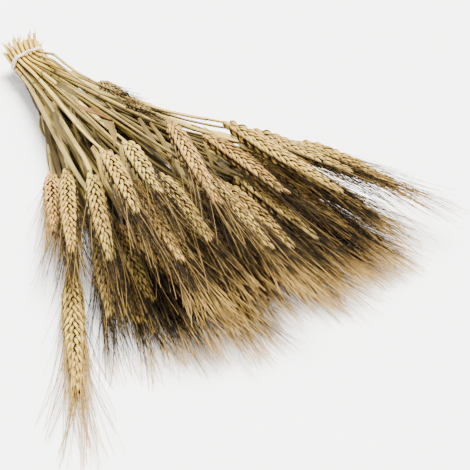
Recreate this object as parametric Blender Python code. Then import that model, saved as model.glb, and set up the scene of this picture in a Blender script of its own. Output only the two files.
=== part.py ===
"""Tied bunch of dried awned cereal stalks lying on a level surface.

Each stalk is one grown piece: a cut straw, a two-ranked ear of shingled spikelets and a brush of
awns.  The straws are packed in rows inside a double elastic loop and fan out from it.  They are
laid from the floor up: every stalk is lowered on the heap left by the ones below it.

Lengths in the constants are millimetres; the meshes are in metres.  During the laying the loop
stands at x = 0, the fan opens along +X and the floor is z = 0.
"""
import math
import random

import bmesh
import bpy
import numpy as np
from mathutils import Vector

MM = 0.001
SEED = 11

# straw, ear and awns
STEM_R = 1.6
CUT_LENGTH = 34.0
EAR_WIDE = 6.6
EAR_THICK = 4.6
EAR_TAPER_FROM = 0.52
EAR_TIP_SHARE = 0.44
SPIKELET_PITCH = 9.2
SPIKELET_WAIST = 0.70
AWN_REACH = 48.0
AWN_SPREAD = 10.0
AWN_STEPS = 4
AWN_ROOT = 0.3
AWNS_FROM = 0.48
SMALL_EAR_SHARE = 0.66
SMALL_AWN_REACH = 22.0

# packing in the loop and room between neighbours
SLOT_PITCH = 3.9
ROW_RISE = SLOT_PITCH * 0.866
GAP = 0.35
STUB_FLARE = 0.30
STUB_SWERVE = 7.0

# elastic loops
LOOP_THICK = 1.1
LOOP_WIDE = 2.4
LOOP_CLEAR = 0.42
LOOP_TILT = 7.0
LOOP_SIDES = 26

# leaves
LEAF_THICK = 0.45

# laying
STEP = 0.5
CELL = 0.4
GRID_X = -60.0
GRID_Y = -190.0
GRID_SIZE = (1300, 950)
STIFF = 0.75
STRAW_SPAN = 31.0
RAISE_REACH = 70.0

# rows from the floor up: ear base distance, then the azimuth of each stalk from left to right
ROWS = [
    (268, [-18.3, -9.2, -2.4, 7.8]),
    (264, [-18.3, -12.6, -5.8, 1.0, 11.2]),
    (270, [-14.3, -7.5, -0.7, 4.4, 9.5, 14.6]),
    (262, [-15.0, -10.9, -4.1, 2.7, 6.1, 12.9, 16.3]),
    (262, [-11.0, -5.8, -2.4, 1.0, 4.4, 7.8, 11.2, 19.8]),
    (250, [-12.5, -8.3, -4.1, 2.2, 8.8, 12.9, 16.2]),
    (240, [-10.0, -5.6, 4.3, 11.7, 5.0, 6.2]),
]

# ears set one by one, by row and place: azimuth and distance of the ear's base, the same of its
# tip, then the least height at each of the two
CHOSEN = {
    (0, 0): (-18.3, 296, -19.6, 400, 0, 0),
    (1, 0): (-18.3, 178, -19.4, 260, 0, 0),
    (2, 0): (-14.3, 276, -15.4, 346, 0, 0),
    (3, 0): (-15.0, 192, -17.7, 291, 0, 0),
    (4, 0): (-11.0, 287, -8.0, 353, 0, 0),
    (4, 7): (19.8, 280, 20.2, 358, 26, 26),
    (5, 0): (-12.5, 238, -13.9, 318, 0, 0),
    (5, 3): (2.2, 272, 0.6, 360, 0, 0),
    (5, 5): (13.6, 272, 14.4, 356, 0, 0),
    (5, 6): (16.4, 248, 17.6, 332, 0, 0),
    (6, 0): (-10.0, 234, -10.0, 306, 0, 0),
    (6, 1): (-5.6, 228, -6.4, 296, 0, 0),
    (6, 2): (4.3, 218, -1.0, 318, 0, 0),
    (6, 3): (11.2, 246, 13.2, 344, 0, 0),
    (6, 4): (1.9, 171, 2.8, 203, 0, 0),
    (6, 5): (0.4, 137, 1.8, 172, 0, 0),
}

# the two small ears are laid last
SMALL = [(6, 4), (6, 5)]

# leaves on the heap: start and end (azimuth, distance), half width, sideways bow
LEAVES = [
    ((-9.0, 94), (-5.6, 130), 4.8, 2.0),
    ((-7.6, 146), (-3.4, 182), 4.2, -2.5),
    ((-6.4, 188), (-8.0, 232), 4.6, 3.0),
    ((-13.0, 118), (-13.5, 168), 3.6, -2.0),
]


def polar(azimuth, distance):
    """Plan position of a point of the fan."""
    angle = math.radians(azimuth)
    return distance * np.array([math.cos(angle), math.sin(angle)])


def smooth(values, half):
    """Running mean with the ends held."""
    padded = np.concatenate([np.full(half, values[0]), values, np.full(half, values[-1])])
    total = np.concatenate([[0.0], np.cumsum(padded)])
    window = 2 * half + 1
    return (total[window:] - total[:-window]) / window


def widened(values, half):
    """Running highest value with the ends held."""
    padded = np.concatenate([np.full(half, values[0]), values, np.full(half, values[-1])])
    shifts = [padded[k:k + len(values)] for k in range(2 * half + 1)]
    return np.max(shifts, axis=0)


def tight_string(along, heights):
    """A string pulled tight over the heights: their upper hull."""
    keep = [0]
    for i in range(1, len(along)):
        while len(keep) > 1:
            a = keep[-2]
            b = keep[-1]
            rise_b = (heights[b] - heights[a]) * (along[i] - along[a])
            rise_i = (heights[i] - heights[a]) * (along[b] - along[a])
            if rise_b > rise_i:
                break
            keep.pop()
        keep.append(i)
    return np.interp(along, along[keep], heights[keep])


def measured(points):
    """Distance along a polyline at each of its points."""
    return np.r_[0.0, np.cumsum(np.linalg.norm(np.diff(points, axis=0), axis=1))]


def hermite(start, end, leave, arrive, count):
    """Plan curve between two points with given end tangents."""
    u = np.linspace(0, 1, count)[:, None]
    near = (2 * u**3 - 3 * u**2 + 1) * start + (-2 * u**3 + 3 * u**2) * end
    return near + (u**3 - 2 * u**2 + u) * leave + (u**3 - u**2) * arrive


class Heap:
    """Height of everything laid so far, on a fine grid."""

    def __init__(self):
        self.height = np.zeros(GRID_SIZE)
        self.spread = np.linspace(-1, 1, 65)

    def cells(self, xy, wide, margin):
        """Grid cells under a strip that follows the plan path."""
        tangent = np.gradient(xy, axis=0)
        tangent /= np.linalg.norm(tangent, axis=1)[:, None]
        normal = np.stack([-tangent[:, 1], tangent[:, 0]], axis=1)
        reach = self.spread * (wide + margin)[:, None]
        at = xy[:, None] + normal[:, None] * reach[..., None]
        i = ((at[..., 0] - GRID_X) / CELL).round().astype(int)
        j = ((at[..., 1] - GRID_Y) / CELL).round().astype(int)
        return np.clip(i, 0, GRID_SIZE[0] - 1), np.clip(j, 0, GRID_SIZE[1] - 1)

    def bulge(self, thick, power):
        """Half thickness of the piece across its width."""
        across = (1 - abs(self.spread) ** power[:, None]) ** (1 / power[:, None])
        return thick[:, None] * across

    def least_height(self, xy, wide, thick, power):
        """Lowest axis height that clears what lies below."""
        under = self.height[self.cells(xy, wide, GAP)]
        above_pieces = (np.where(under > 0, under + GAP, 0) + self.bulge(thick, power)).max(axis=1)
        return np.maximum(above_pieces, thick)

    def add(self, xy, wide, thick, power, z):
        """Raise the heap to the top of a laid piece."""
        top = z[:, None] + self.bulge(thick, power)
        np.maximum.at(self.height, self.cells(xy, wide, 0), top)


def room(s, base, ear, share, reach):
    """Half width, half thickness and section power of the room that a stalk takes along itself."""
    swell = np.clip((s - base + 3) / 8, 0, 1)
    grow = np.clip((s - base - EAR_TAPER_FROM * ear) / ((1 - EAR_TAPER_FROM) * ear + reach), 0, 1)
    past = np.clip((s - base - ear) / reach, 0, 1)
    taper = np.clip((s - base - EAR_TAPER_FROM * ear) / ((1 - EAR_TAPER_FROM) * ear), 0, 1)
    wide = STEM_R + swell * (share * EAR_WIDE + 0.2 - STEM_R) + grow * share * (AWN_SPREAD - EAR_WIDE)
    thick = STEM_R + swell * (share * EAR_THICK + 0.2 - STEM_R) - share * (1.7 * taper + 1.7 * past)
    power = np.where(s < base - 3, 2.0, 2.6)
    return wide, thick, power


def lay_stalks():
    """Place every stalk; returns the stalks and the heap they make."""
    rng = random.Random(SEED)
    heap = Heap()
    places = [(row, k) for row, spec in enumerate(ROWS) for k in range(len(spec[1]))]
    places = [p for p in places if p not in SMALL] + SMALL
    stalks = []
    for row, k in places:
        far, azimuths = ROWS[row]
        count = len(azimuths)
        azimuth = azimuths[k] + rng.uniform(-0.4, 0.4)
        distance = far + rng.uniform(-13, 13)
        ear = rng.uniform(78, 92)
        heading = azimuth + rng.uniform(-1.6, 1.6)
        cut = CUT_LENGTH - rng.uniform(0, 8)
        roll = rng.uniform(-9, 9)
        end = polar(azimuth, distance)
        tip = end + polar(heading, ear)
        low = (0, 0)
        if (row, k) in CHOSEN:
            chosen = CHOSEN[row, k]
            end = polar(chosen[0], chosen[1])
            tip = polar(chosen[2], chosen[3])
            low = chosen[4:]
            ear = np.linalg.norm(tip - end)
        small = (row, k) in SMALL
        share = SMALL_EAR_SHARE if small else 1.0
        reach = SMALL_AWN_REACH if small else AWN_REACH

        # plan: stub behind the loop, curved straw, straight ear and awns
        slot = (k - (count - 1) / 2) * SLOT_PITCH
        slot_z = LOOP_THICK + LOOP_CLEAR + STEM_R + row * ROW_RISE
        toward = (tip - end) / ear
        distance = np.linalg.norm(end)
        leave = np.array([1.0, 0.3 * end[1] / end[0]]) * distance * 0.9
        straw = hermite(np.array([0.0, slot]), end, leave, toward * distance * 0.9, 400)
        back = np.array([cut, 0.5 * (cut + 8), 8.0])
        u = back / CUT_LENGTH
        stub = np.stack([-back, slot * (1 + STUB_FLARE * u**1.5) + STUB_SWERVE * u**1.5], axis=1)

        # corners of the piece: the straw in spans, the ear at every half spikelet
        run = measured(straw)
        spans = max(3, round((run[-1] - 12) / STRAW_SPAN))
        at = np.linspace(9, run[-1] - 3, spans + 1)
        bends = np.stack([np.interp(at, run, straw[:, 0]), np.interp(at, run, straw[:, 1])], axis=1)
        tail = end + toward * (ear + reach)
        corners = np.vstack([stub, bends, end, tip, tail])
        mark = measured(corners)
        tie = mark[2] + 8
        base = mark[-3]
        s = np.arange(0, mark[-1], STEP)
        xy = np.stack([np.interp(s, mark, corners[:, 0]), np.interp(s, mark, corners[:, 1])], axis=1)

        # height: a springy straw over the heap, held level through the loop
        wide, thick, power = room(s, base, ear, share, reach)
        need = heap.least_height(xy, wide, thick, power)
        hold = int((tie + 8) / STEP)
        at_base = int(base / STEP)
        at_tip = int((base + ear) / STEP)
        need[at_base] = max(need[at_base], low[0])
        need[at_tip] = max(need[at_tip], low[1])
        lifted = widened(need[hold:], 20)
        lifted[0] = slot_z
        string = tight_string(s[hold:], lifted)
        sagging = np.minimum(string, smooth(widened(lifted, 50), 50))
        z = np.full(len(s), slot_z)
        z[hold:] = STIFF * string + (1 - STIFF) * sagging
        z = smooth(z, 20)
        behind = np.clip((tie - s) / CUT_LENGTH, 0, None)
        z = np.where(s < tie, slot_z * (1 + 0.22 * behind**1.5), z)

        # the faceted piece is straight between its corners: lift the ends of a span that touches
        pitch = SPIKELET_PITCH * share
        halves = int(ear // (pitch / 2))
        knots = np.array([*mark[:-3], base, mark[-1]])
        heights = np.interp(knots, s, z)
        free = np.clip((knots - mark[3]) / RAISE_REACH, 0, 1)
        for _ in range(60):
            short = need - np.interp(s, knots, heights)
            short[:hold + 1] = 0
            worst = int(np.argmax(short))
            if short[worst] < 0.01:
                break
            bump = np.exp(-((knots - s[worst]) / RAISE_REACH) ** 2) * free
            heights += short[worst] * 1.02 * bump / np.interp(s[worst], knots, bump)
        z = np.interp(s, knots, heights)
        heap.add(xy, wide, thick, power, z)
        path = np.column_stack([xy, z])
        stalks.append({
            "row": row, "place": k, "s": s, "path": path, "base": base, "ear": ear,
            "share": share, "reach": reach, "roll": roll, "halves": halves, "stem_knots": mark[:-3],
        })
    return stalks, heap


def lay_leaves(heap):
    """Place the leaves on top of the heap."""
    leaves = []
    for start, end, half, bow in LEAVES:
        a = polar(*start)
        b = polar(*end)
        toward = b - a
        side = np.array([-toward[1], toward[0]]) / np.linalg.norm(toward)
        curve = hermite(a, b, toward + side * bow * 4, toward - side * bow * 4, 200)
        run = measured(curve)
        s = np.arange(0, run[-1], STEP)
        xy = np.stack([np.interp(s, run, curve[:, 0]), np.interp(s, run, curve[:, 1])], axis=1)
        u = s / s[-1]
        wide = half * (0.35 + 0.65 * np.sin(np.pi * u) ** 0.5)
        thick = np.full(len(s), LEAF_THICK + 0.7)
        power = np.full(len(s), 4.0)
        need = heap.least_height(xy, wide, thick, power)
        lifted = widened(need, 30)
        string = tight_string(s, lifted)
        z = smooth(0.5 * string + 0.5 * np.minimum(string, smooth(widened(lifted, 30), 30)), 16)
        heap.add(xy, wide, thick, power, z)
        leaves.append({"s": s, "path": np.column_stack([xy, z]), "wide": wide})
    return leaves


def frames(path, s, at):
    """Point, tangent, side and up vectors of a path at given distances."""
    point = np.stack([np.interp(at, s, path[:, i]) for i in range(3)], axis=1)
    ahead = np.stack([np.interp(at + 2, s, path[:, i]) for i in range(3)], axis=1)
    behind = np.stack([np.interp(at - 2, s, path[:, i]) for i in range(3)], axis=1)
    tangent = ahead - behind
    tangent /= np.linalg.norm(tangent, axis=1)[:, None]
    side = np.stack([-tangent[:, 1], tangent[:, 0], np.zeros(len(at))], axis=1)
    side /= np.linalg.norm(side, axis=1)[:, None]
    up = np.cross(tangent, side)
    return point, tangent, side, up


def loft(bm, rings):
    """Skin over rings of equal count; returns the corners and side faces by ring, and the far cap."""
    verts = [[bm.verts.new(Vector(p) * MM) for p in ring] for ring in rings]
    count = len(rings[0])
    walls = []
    for one, two in zip(verts, verts[1:]):
        row = []
        for k in range(count):
            n = (k + 1) % count
            row.append(bm.faces.new((one[k], two[k], two[n], one[n])))
        walls.append(row)
    bm.faces.new(verts[0])
    head = bm.faces.new(verts[-1][::-1])
    return verts, walls, head


def finish(bm, name, material, collection):
    """Close a mesh into an object of the collection."""
    whole = [face for face in bm.faces if len(face.verts) > 3]
    bmesh.ops.triangulate(bm, faces=whole, quad_method="SHORT_EDGE")
    if bm.calc_volume(signed=True) < 0:
        bmesh.ops.reverse_faces(bm, faces=bm.faces[:])
    mesh = bpy.data.meshes.new(name)
    bm.to_mesh(mesh)
    bm.free()
    mesh.materials.append(material)
    obj = bpy.data.objects.new(name, mesh)
    collection.objects.link(obj)
    return obj


def ear_half_width(u, share):
    """Half width of the ear over its length, from base to tip."""
    start = min(1.0, 0.45 + 3.2 * u)
    taper = max(0.0, (u - EAR_TAPER_FROM) / (1 - EAR_TAPER_FROM))
    return share * EAR_WIDE * start * (1 - (1 - EAR_TIP_SHARE) * taper)


def build_stalk(stalk, name, material, collection):
    """Straw, shingled ear and awns of one stalk, as a single skin."""
    bm = bmesh.new()
    base = stalk["base"]
    ear = stalk["ear"]
    share = stalk["share"]
    path = stalk["path"]
    s = stalk["s"]
    roll = math.radians(stalk["roll"])

    # straw: hexagonal sections at its bends
    rings = []
    point, tangent, side, up = frames(path, s, stalk["stem_knots"])
    for p, n, w in zip(point, side, up):
        ring = []
        for k in range(6):
            angle = k * math.pi / 3
            ring.append(p + STEM_R * (math.cos(angle) * n + math.sin(angle) * w))
        rings.append(ring)
    straw_rings = len(rings)

    # ear: two ranks of spikelets half a step out of phase, each widening to its tip
    halves = stalk["halves"]
    step = ear / halves
    lead = 0.26 * step
    stations = base + (np.arange(halves) + 0.5) * step
    shifted = {}
    for sign in (-1, 0, 1):
        shifted[sign] = frames(path, s, stations + sign * lead)
    for k in range(halves):
        ring = []
        left_wide = k % 2 == 1
        for across, high in ((-1, 0), (-0.48, 1), (0.48, 1), (1, 0), (0.48, -1), (-0.48, -1)):
            wide_here = left_wide if across < 0 else not left_wide
            p, t, n, w = [v[k] for v in shifted[1 if wide_here else -1]]
            half = ear_half_width((k + 0.5) / halves, share) * (1.0 if wide_here else SPIKELET_WAIST)
            thick = half * EAR_THICK / EAR_WIDE * 0.92
            x = half * across
            y = thick * high
            turned_x = x * math.cos(roll) - y * math.sin(roll)
            turned_y = x * math.sin(roll) + y * math.cos(roll)
            ring.append(p - turned_x * n + turned_y * w)
        rings.append(ring)
    verts, walls, head = loft(bm, rings)

    # awns: the lips of the outer spikelets are drawn out to long points
    end = s[-1]
    rng = random.Random(stalk["row"] * 20 + stalk["place"])
    outer = [k for k in range(halves - 2, -1, -1) if (k + 0.5) / halves > AWNS_FROM]
    for order, k in enumerate(outer[:2 * AWN_STEPS]):
        rank = order // 2
        wide_left = k % 2 == 1
        corner = 0 if wide_left else 3
        lip = verts[straw_rings + k][corner]
        waist = verts[straw_rings + k + 1][corner]
        knot = bmesh.utils.edge_split(bm.edges.get((lip, waist)), lip, AWN_ROOT)[1]
        sides = ((0, 1, 1), (5, 5, -1)) if wide_left else ((2, 2, 1), (3, 4, -1))
        for wall, nearby, level in sides:
            shoulder = verts[straw_rings + k][nearby]
            bmesh.utils.face_split(walls[straw_rings + k][wall], knot, shoulder)
            root = [face for face in knot.link_faces if {lip, shoulder} <= set(face.verts)]
            drawn = bmesh.ops.poke(bm, faces=root)["verts"][0]
            reach = end - 1 - (2.2 * rank + rng.uniform(0, 6)) * share
            p, t, n, w = [v[0] for v in frames(path, s, np.array([reach]))]
            out = share * (3.2 + 1.75 * rank + rng.uniform(-0.3, 0.3))
            side_sign = 1 if wide_left else -1
            drawn.co = Vector(p + side_sign * out * n + level * 0.95 * share * w) * MM
    middle = bmesh.ops.poke(bm, faces=[head])["verts"][0]
    p, t, n, w = [v[0] for v in frames(path, s, np.array([end - 1]))]
    middle.co = Vector(p) * MM
    return finish(bm, name, material, collection)


def build_leaf(leaf, name, material, collection):
    """Thin leaf blade with a shallow gutter and a waved surface, split alike above and below."""
    bm = bmesh.new()
    s = leaf["s"]
    count = 9
    at = np.linspace(0.5, s[-1] - 0.5, count)
    point, tangent, side, up = frames(leaf["path"], s, at)
    rings = []
    for k in range(count):
        half = np.interp(at[k], s, leaf["wide"])
        wave = 0.35 * math.sin(1.9 * k)
        ring = []
        for across, high in ((-1, 0.35), (-0.45, 1), (0.45, 1), (1, 0.35), (0.45, -1), (-0.45, -1)):
            lift = LEAF_THICK * high + wave * across
            if high == 0.35:
                lift = 0.3 + wave * across
            ring.append(point[k] - half * across * side[k] + lift * up[k])
        rings.append(ring)
    walls = loft(bm, rings)[1]
    for row in walls:
        bmesh.ops.triangulate(bm, faces=row[:3], quad_method="FIXED")
        bmesh.ops.triangulate(bm, faces=row[3:], quad_method="ALTERNATE")
    return finish(bm, name, material, collection)


def loop_outline(stalks):
    """Outline in y and z round the straws where the loop holds them."""
    centres = []
    for stalk in stalks:
        path = stalk["path"]
        for x in (-3.5, 0.0, 3.5):
            y = np.interp(x, path[:, 0], path[:, 1])
            z = np.interp(x, path[:, 0], path[:, 2])
            centres.append((y, z))
    centres = np.array(centres)
    outline = []
    for k in range(LOOP_SIDES):
        angle = 2 * math.pi * (k + 0.5) / LOOP_SIDES - math.pi / 2
        normal = np.array([math.cos(angle), math.sin(angle)])
        outline.append((centres[np.argmax(centres @ normal)], normal))
    return outline


def build_loop(stalks, name, material, collection):
    """Elastic wound twice: two flat loops that cross above and below, fused."""
    outline = loop_outline(stalks)
    parts = []
    for turn in (-1, 1):
        bm = bmesh.new()
        rings = []
        for centre, normal in outline:
            ring = []
            slant = turn * math.tan(math.radians(LOOP_TILT))
            for out, along in ((0, -1), (1, -1), (1, 1), (0, 1)):
                offset = STEM_R + LOOP_CLEAR - 0.1 + out * LOOP_THICK
                yz = centre + normal * offset
                x = along * LOOP_WIDE / 2 + slant * yz[0]
                ring.append((x, yz[0], yz[1]))
            rings.append(ring)
        verts = [[bm.verts.new(Vector(p) * MM) for p in ring] for ring in rings]
        for one, two in zip(verts, verts[1:] + verts[:1]):
            for k in range(4):
                n = (k + 1) % 4
                bm.faces.new((one[k], two[k], two[n], one[n]))
        parts.append(finish(bm, name + "_turn", material, collection))
    operands = bpy.data.collections.new(name + "_operands")
    bpy.context.scene.collection.children.link(operands)
    first, second = parts
    collection.objects.unlink(second)
    operands.objects.link(second)
    first.name = name
    fuse = first.modifiers.new("fuse", "BOOLEAN")
    fuse.operation = "UNION"
    fuse.solver = "MANIFOLD"
    fuse.operand_type = "COLLECTION"
    fuse.collection = operands
    bpy.context.view_layer.update()
    depsgraph = bpy.context.evaluated_depsgraph_get()
    fused = bpy.data.meshes.new_from_object(first.evaluated_get(depsgraph))
    first.modifiers.clear()
    first.data = fused
    bpy.data.objects.remove(second)
    bpy.data.collections.remove(operands)
    return first


def principled(name, color, roughness):
    """Plain Principled material."""
    material = bpy.data.materials.new(name)
    material.use_nodes = True
    shader = material.node_tree.nodes["Principled BSDF"]
    shader.inputs["Base Color"].default_value = (*color, 1.0)
    shader.inputs["Roughness"].default_value = roughness
    return material


def main():
    for obj in list(bpy.data.objects):
        bpy.data.objects.remove(obj)
    for mesh in list(bpy.data.meshes):
        bpy.data.meshes.remove(mesh)
    bunch = bpy.data.collections.new("dried_triticale_bunch")
    bpy.context.scene.collection.children.link(bunch)

    tints = [
        principled("golden_stalk", (0.46, 0.33, 0.15), 0.75),
        principled("pale_stalk", (0.56, 0.44, 0.24), 0.72),
        principled("brown_stalk", (0.36, 0.24, 0.12), 0.8),
    ]
    green_leaf = principled("dry_leaf", (0.33, 0.32, 0.2), 0.8)
    elastic = principled("elastic_white", (0.85, 0.83, 0.78), 0.45)

    stalks, heap = lay_stalks()
    leaves = lay_leaves(heap)
    for number, stalk in enumerate(stalks, 1):
        tint = tints[(stalk["row"] * 2 + stalk["place"]) % 3]
        build_stalk(stalk, f"stalk_{number:02d}", tint, bunch)
    for number, leaf in enumerate(leaves, 1):
        build_leaf(leaf, f"leaf_{number}", green_leaf, bunch)
    build_loop(stalks, "elastic_band", elastic, bunch)

    # the origin goes to the middle of the footprint
    corners = []
    for obj in bunch.objects:
        coords = np.array([v.co[:] for v in obj.data.vertices])
        corners.append(coords.min(axis=0))
        corners.append(coords.max(axis=0))
    low = np.min(corners, axis=0)
    high = np.max(corners, axis=0)
    shift = Vector((-(low[0] + high[0]) / 2, -(low[1] + high[1]) / 2, -low[2]))
    for obj in bunch.objects:
        for vertex in obj.data.vertices:
            vertex.co += shift


main()
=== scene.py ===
"""Tied bunch of dried triticale: detailed straws, ears, awns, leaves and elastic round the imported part.

The laying of the stalks repeats the part's own source, so every detailed stalk lies along the solid
that it stands for.  Lengths in the constants are millimetres, in the frame of the laying: the
elastic at x = 0, the fan along +X and the floor at z = 0.
"""
import math
import random

import bpy
import numpy as np
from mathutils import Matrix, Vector


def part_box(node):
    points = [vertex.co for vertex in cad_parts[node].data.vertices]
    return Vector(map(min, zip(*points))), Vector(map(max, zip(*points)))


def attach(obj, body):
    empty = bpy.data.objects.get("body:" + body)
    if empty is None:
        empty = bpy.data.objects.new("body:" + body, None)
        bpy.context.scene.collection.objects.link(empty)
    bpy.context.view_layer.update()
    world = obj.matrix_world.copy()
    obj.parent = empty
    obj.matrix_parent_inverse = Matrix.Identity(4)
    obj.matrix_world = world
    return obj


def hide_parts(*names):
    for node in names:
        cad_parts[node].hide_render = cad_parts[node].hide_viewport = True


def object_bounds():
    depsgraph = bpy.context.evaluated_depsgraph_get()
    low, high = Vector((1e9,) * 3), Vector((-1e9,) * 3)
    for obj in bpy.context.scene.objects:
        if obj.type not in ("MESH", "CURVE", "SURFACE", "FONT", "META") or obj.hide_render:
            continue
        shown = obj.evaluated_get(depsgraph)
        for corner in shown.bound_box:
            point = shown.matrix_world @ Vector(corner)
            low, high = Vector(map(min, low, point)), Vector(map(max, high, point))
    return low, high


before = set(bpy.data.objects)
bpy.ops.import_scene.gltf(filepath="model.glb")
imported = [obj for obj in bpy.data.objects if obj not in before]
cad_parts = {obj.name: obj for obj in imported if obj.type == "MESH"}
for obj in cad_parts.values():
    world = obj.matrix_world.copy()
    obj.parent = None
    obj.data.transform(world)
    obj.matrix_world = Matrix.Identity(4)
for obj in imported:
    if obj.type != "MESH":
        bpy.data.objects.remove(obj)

MM = 0.001
SEED = 11
STALK_SEED = 100
LEAF_SEED = 500

# room that a stalk takes, as in the part's source
STEM_R = 1.6
CUT_LENGTH = 34.0
EAR_WIDE = 6.6
EAR_THICK = 4.6
EAR_TAPER_FROM = 0.52
EAR_TIP_SHARE = 0.44
AWN_REACH = 48.0
AWN_SPREAD = 10.0
SMALL_EAR_SHARE = 0.66
SMALL_AWN_REACH = 22.0

# places in the tie, gap between laid pieces, and stubs behind the tie
SLOT_PITCH = 3.9
ROW_RISE = SLOT_PITCH * 0.866
GAP = 0.35
STUB_FLARE = 0.30
STUB_SWERVE = 7.0

LOOP_THICK = 1.1
LOOP_WIDE = 2.4
LOOP_CLEAR = 0.42
LOOP_SLANT = math.tan(math.radians(7.0))
LOOP_INSIDE = STEM_R + LOOP_CLEAR - 0.1
LOOP_SIDES = 26

# thickness of a leaf, length of an ear, scatter of the ear bases along their rows
LEAF_THICK = 0.45
EAR_LONG = (78, 92)
BASE_SCATTER = 13

# grid and springiness of the laying
STEP = 0.5
CELL = 0.4
GRID_X = -60.0
GRID_Y = -190.0
GRID_SIZE = (1300, 950)
STIFF = 0.75
STRAW_SPAN = 31.0
RAISE_REACH = 70.0

# rows from the floor up: middle distance of the ear bases, and their azimuths
ROWS = [
    (268, [-18.3, -9.2, -2.4, 7.8]),
    (264, [-18.3, -12.6, -5.8, 1.0, 11.2]),
    (270, [-14.3, -7.5, -0.7, 4.4, 9.5, 14.6]),
    (262, [-15.0, -10.9, -4.1, 2.7, 6.1, 12.9, 16.3]),
    (262, [-11.0, -5.8, -2.4, 1.0, 4.4, 7.8, 11.2, 19.8]),
    (250, [-12.5, -8.3, -4.1, 2.2, 8.8, 12.9, 16.2]),
    (240, [-10.0, -5.6, 4.3, 11.7, 5.0, 6.2]),
]
# stalks placed after the photo: azimuth and distance of the ear's base and tip, least heights of both
CHOSEN = {
    (0, 0): (-18.3, 296, -19.6, 400, 0, 0),
    (1, 0): (-18.3, 178, -19.4, 260, 0, 0),
    (2, 0): (-14.3, 276, -15.4, 346, 0, 0),
    (3, 0): (-15.0, 192, -17.7, 291, 0, 0),
    (4, 0): (-11.0, 287, -8.0, 353, 0, 0),
    (4, 7): (19.8, 280, 20.2, 358, 26, 26),
    (5, 0): (-12.5, 238, -13.9, 318, 0, 0),
    (5, 3): (2.2, 272, 0.6, 360, 0, 0),
    (5, 5): (13.6, 272, 14.4, 356, 0, 0),
    (5, 6): (16.4, 248, 17.6, 332, 0, 0),
    (6, 0): (-10.0, 234, -10.0, 306, 0, 0),
    (6, 1): (-5.6, 228, -6.4, 296, 0, 0),
    (6, 2): (4.3, 218, -1.0, 318, 0, 0),
    (6, 3): (11.2, 246, 13.2, 344, 0, 0),
    (6, 4): (1.9, 171, 2.8, 203, 0, 0),
    (6, 5): (0.4, 137, 1.8, 172, 0, 0),
}
SMALL = [(6, 4), (6, 5)]
# loose leaf pieces: azimuth and distance of both ends, half width, bow
LEAVES = [
    ((-9.0, 94), (-5.6, 130), 4.8, 2.0),
    ((-7.6, 146), (-3.4, 182), 4.2, -2.5),
    ((-6.4, 188), (-8.0, 232), 4.6, 3.0),
    ((-13.0, 118), (-13.5, 168), 3.6, -2.0),
]

# straw: radius at the cut, how much it thins up to the ear, depth of the hollow, how far past the
# tie the node lies, and how far the sheath runs on from it
STRAW_SIDES = 12
STRAW_R = 1.45
STRAW_THINS = 0.62
STRAW_RING_STEP = 4.5
HOLLOW = 7.0
NODE_AT = (18, 70)
NODE_THICK = 0.34
SHEATH_LONG = (70, 125)
SHEATH_THICK = 0.18

# split slivers at each cut end, and the middle height of the bundle that they spread from
SLIVERS = 3
SLIVER_LONG = (9.0, 15.0)
SLIVER_HALF = (0.5, 0.95)
SLIVER_THICK = 0.09
BUNDLE_MIDDLE = 14.0

# ear: husks are set within this share of its half width, so that their bellies end at its outline
EAR_SLIM = 0.80
SPIKELET_STEP = 3.55
HUSK_SIDES = 7
HUSK_PROFILE = np.array([(0.00, 0.34), (0.16, 0.84), (0.42, 1.00), (0.68, 0.84), (0.88, 0.42), (1.00, 0.12)])
HUSK_JITTER = 0.16

# husks of a spikelet: foot, belly and point as shares of the ear's half width and half thickness, how
# far up the foot and the rest start, lengths, place of the belly, half width and depth, outward
# direction, and whether an awn leaves the point
FACE_HUSKS = [
    ((0.14, 0.36), (0.66, 0.80), (0.96, 0.46), 0.0, 0.0, (8.8, 10.6), 0.45, 1.5, 1.15, (0.45, 0.9), True),
    ((0.02, 0.40), (0.24, 0.84), (0.42, 0.62), 1.6, 1.6, (7.4, 8.8), 0.5, 1.22, 0.95, (0.1, 1.0), True),
    ((0.40, 0.42), (0.86, 0.84), (1.06, 0.62), -0.8, 0.0, (5.4, 6.8), 0.42, 1.12, 0.72, (0.72, 0.7), False),
]
EDGE_HUSKS = [
    ((0.34, 0.0), (1.02, 0.0), (1.10, 0.0), 1.2, 1.2, (8.0, 9.6), 0.5, 1.5, 1.0, (1.0, 0.0), True),
]

# core of the ear
RACHIS_POINTS = 14
RACHIS_SWAY = 0.35

# awns: points along each, radius, length, share of it on a small ear, and the plan distances over
# which they turn pale with painted light at the fringe
AWN_POINTS = 7
AWN_R = 0.26
AWN_LONG = (44, 76)
SMALL_AWN_SHARE = 0.62
FRINGE_FROM = 331.0
FRINGE_OVER = 54.0

# long dry leaf blades on each straw, by row, with more and wider drifting ones on the far side of
# the fan; length, reach past the ear's base, most drift sideways, half width, section
BLADES = [9, 9, 7, 6, 6, 4, 3]
FAR_FROM = 8
MORE_FROM = 12
MORE_BLADES = 4
BLADE_LONG = (85, 140)
BLADE_PAST = 90
FAR_BLADE_PAST = 40
BLADE_DRIFT = 12.0
LOW_BLADE_DRIFT = 20.0
FAR_BLADE_DRIFT = 26.0
BLADE_HALF = (1.6, 3.2)
LOW_BLADE_HALF = (1.6, 4.2)
BLADE_POINTS = 16
BLADE_ACROSS = np.array([1, 0.55, 0, -0.55, -1, -0.55, 0, 0.55])
BLADE_DEEP = np.array([0.35, 0.2, 0.18, 0.2, 0.35, -0.12, -0.2, -0.12])

# loose leaves: rings along, points across, height of the veins
LEAF_RINGS = 46
LEAF_ACROSS = 15
LEAF_VEIN = 0.13

# elastic: rings along, corners and ribs of its section, how square it is, rise where it crosses
LOOP_RINGS = 156
LOOP_CORNERS = 24
LOOP_RIBS = 8
LOOP_SQUARE = 0.62
LOOP_RISE = 0.95

# places of the materials on a stalk
STRAW, HUSK, AWN = range(3)
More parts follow.
